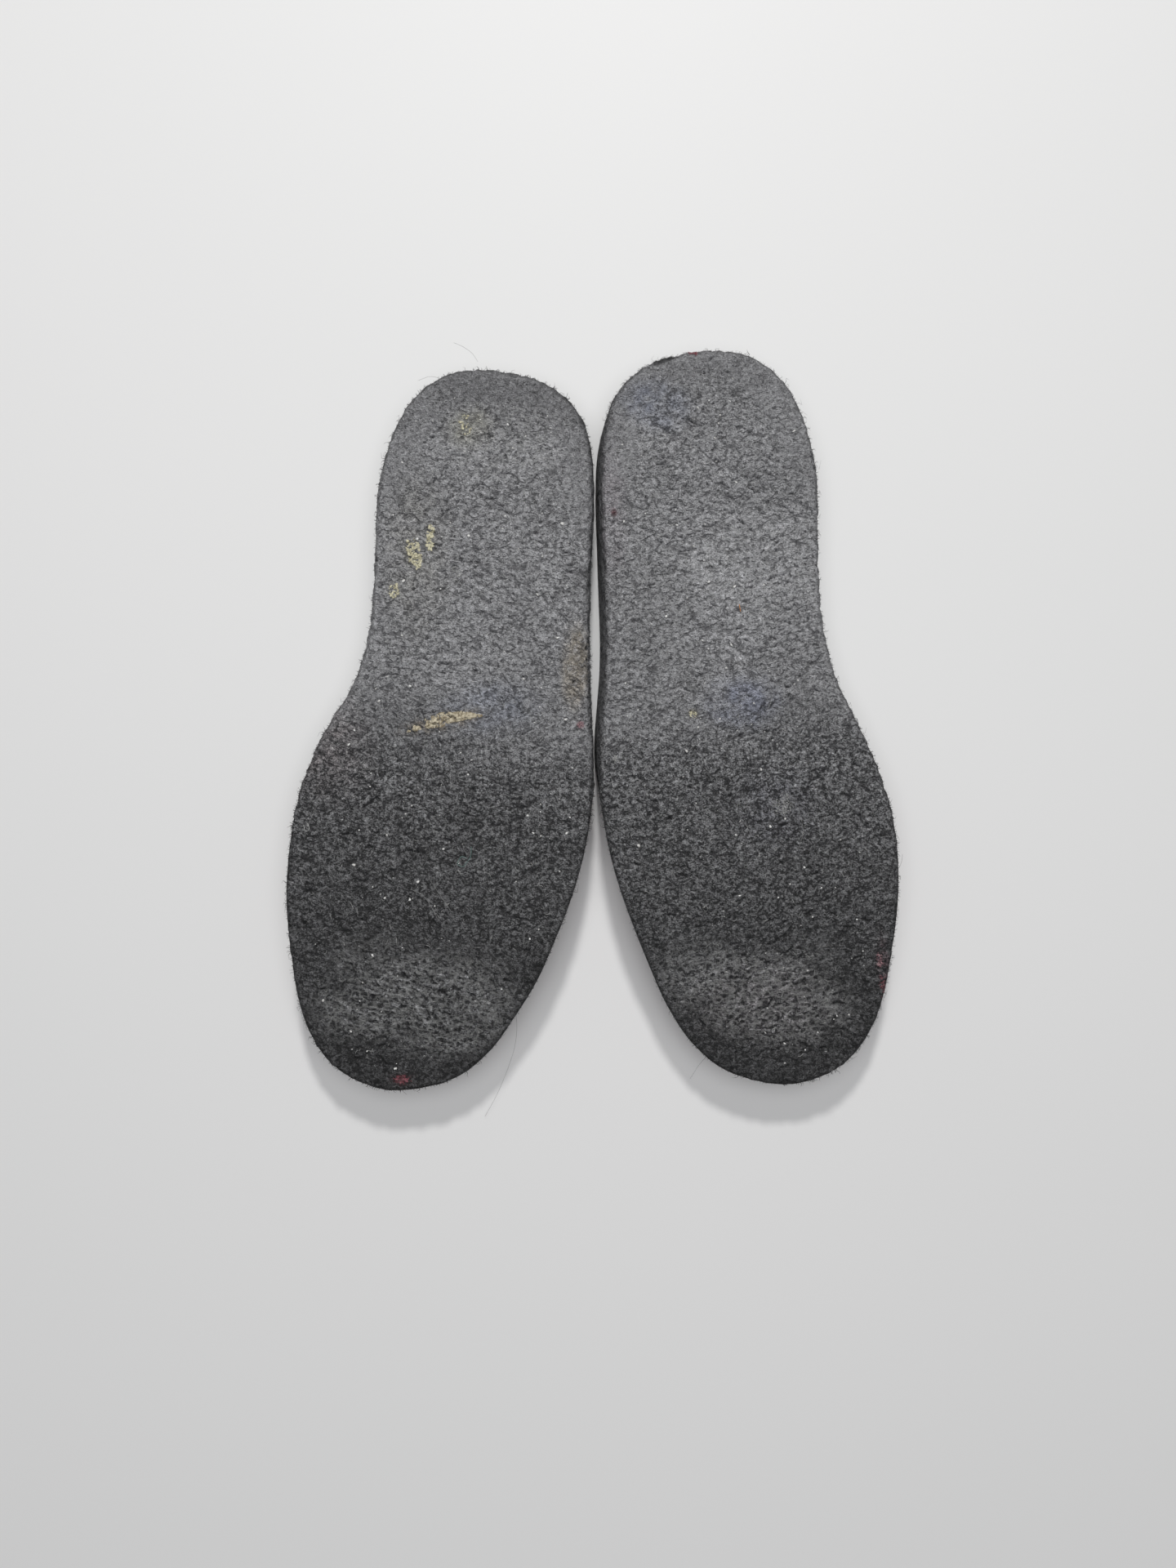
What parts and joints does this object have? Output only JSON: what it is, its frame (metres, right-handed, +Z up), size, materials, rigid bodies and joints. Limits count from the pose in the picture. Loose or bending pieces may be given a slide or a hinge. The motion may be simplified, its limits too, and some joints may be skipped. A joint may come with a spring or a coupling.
{
  "type": "pair of cushioned insoles",
  "caption": "Left and right cushioned shoe insoles with heel cups, felt undersides, foam cores, pads and soft top covers, lying upside-down side by side.",
  "frame": {"origin": "middle of the pair's footprint on the surface that the heel-cup rims rest on", "axes": "+Z up, out of the felt undersides; heels at +Y, toes at -Y; the right foot's insole is at -X and the left foot's at +X, because the pair lies upside-down"},
  "size_m": [0.21, 0.2578, 0.0215],
  "materials": {
    "felt": "worn, matted and pilled charcoal felt",
    "foam": "matte closed-cell foam",
    "cover": "short brushed fleece",
    "pad": "matte soft foam",
    "arch_support": "matte moulded plastic"
  },
  "bodies": {
    "right_rear": {"right_felt_rear": "felt", "right_foam_rear": "foam", "right_cover_rear": "cover", "right_heel_pad": "pad", "right_metatarsal_pad": "pad", "right_arch_support": "arch_support"},
    "right_fore": {"right_felt_fore": "felt", "right_foam_fore": "foam", "right_cover_fore": "cover"},
    "left_rear": {"left_felt_rear": "felt", "left_foam_rear": "foam", "left_cover_rear": "cover", "left_heel_pad": "pad", "left_metatarsal_pad": "pad", "left_arch_support": "arch_support"},
    "left_fore": {"left_felt_fore": "felt", "left_foam_fore": "foam", "left_cover_fore": "cover"}
  },
  "joints": [
    {"name": "right_forefoot_flex", "type": "hinge", "parent": "right_rear", "child": "right_fore", "pos_m": [-0.05426, -0.05333, 0.0185], "axis": [-0.9976, -0.0697, 0], "range_deg": [-7.5, 45], "stiffness_Nm_per_rad": 0.25},
    {"name": "pair_spread", "type": "slide", "parent": "right_rear", "child": "left_rear", "axis": [1, 0, 0], "range_m": [0, 0.08]},
    {"name": "left_forefoot_flex", "type": "hinge", "parent": "left_rear", "child": "left_fore", "pos_m": [0.0553, -0.04962, 0.0185], "axis": [-0.9948, 0.1023, 0], "range_deg": [-7.5, 45], "stiffness_Nm_per_rad": 0.25}
  ]
}
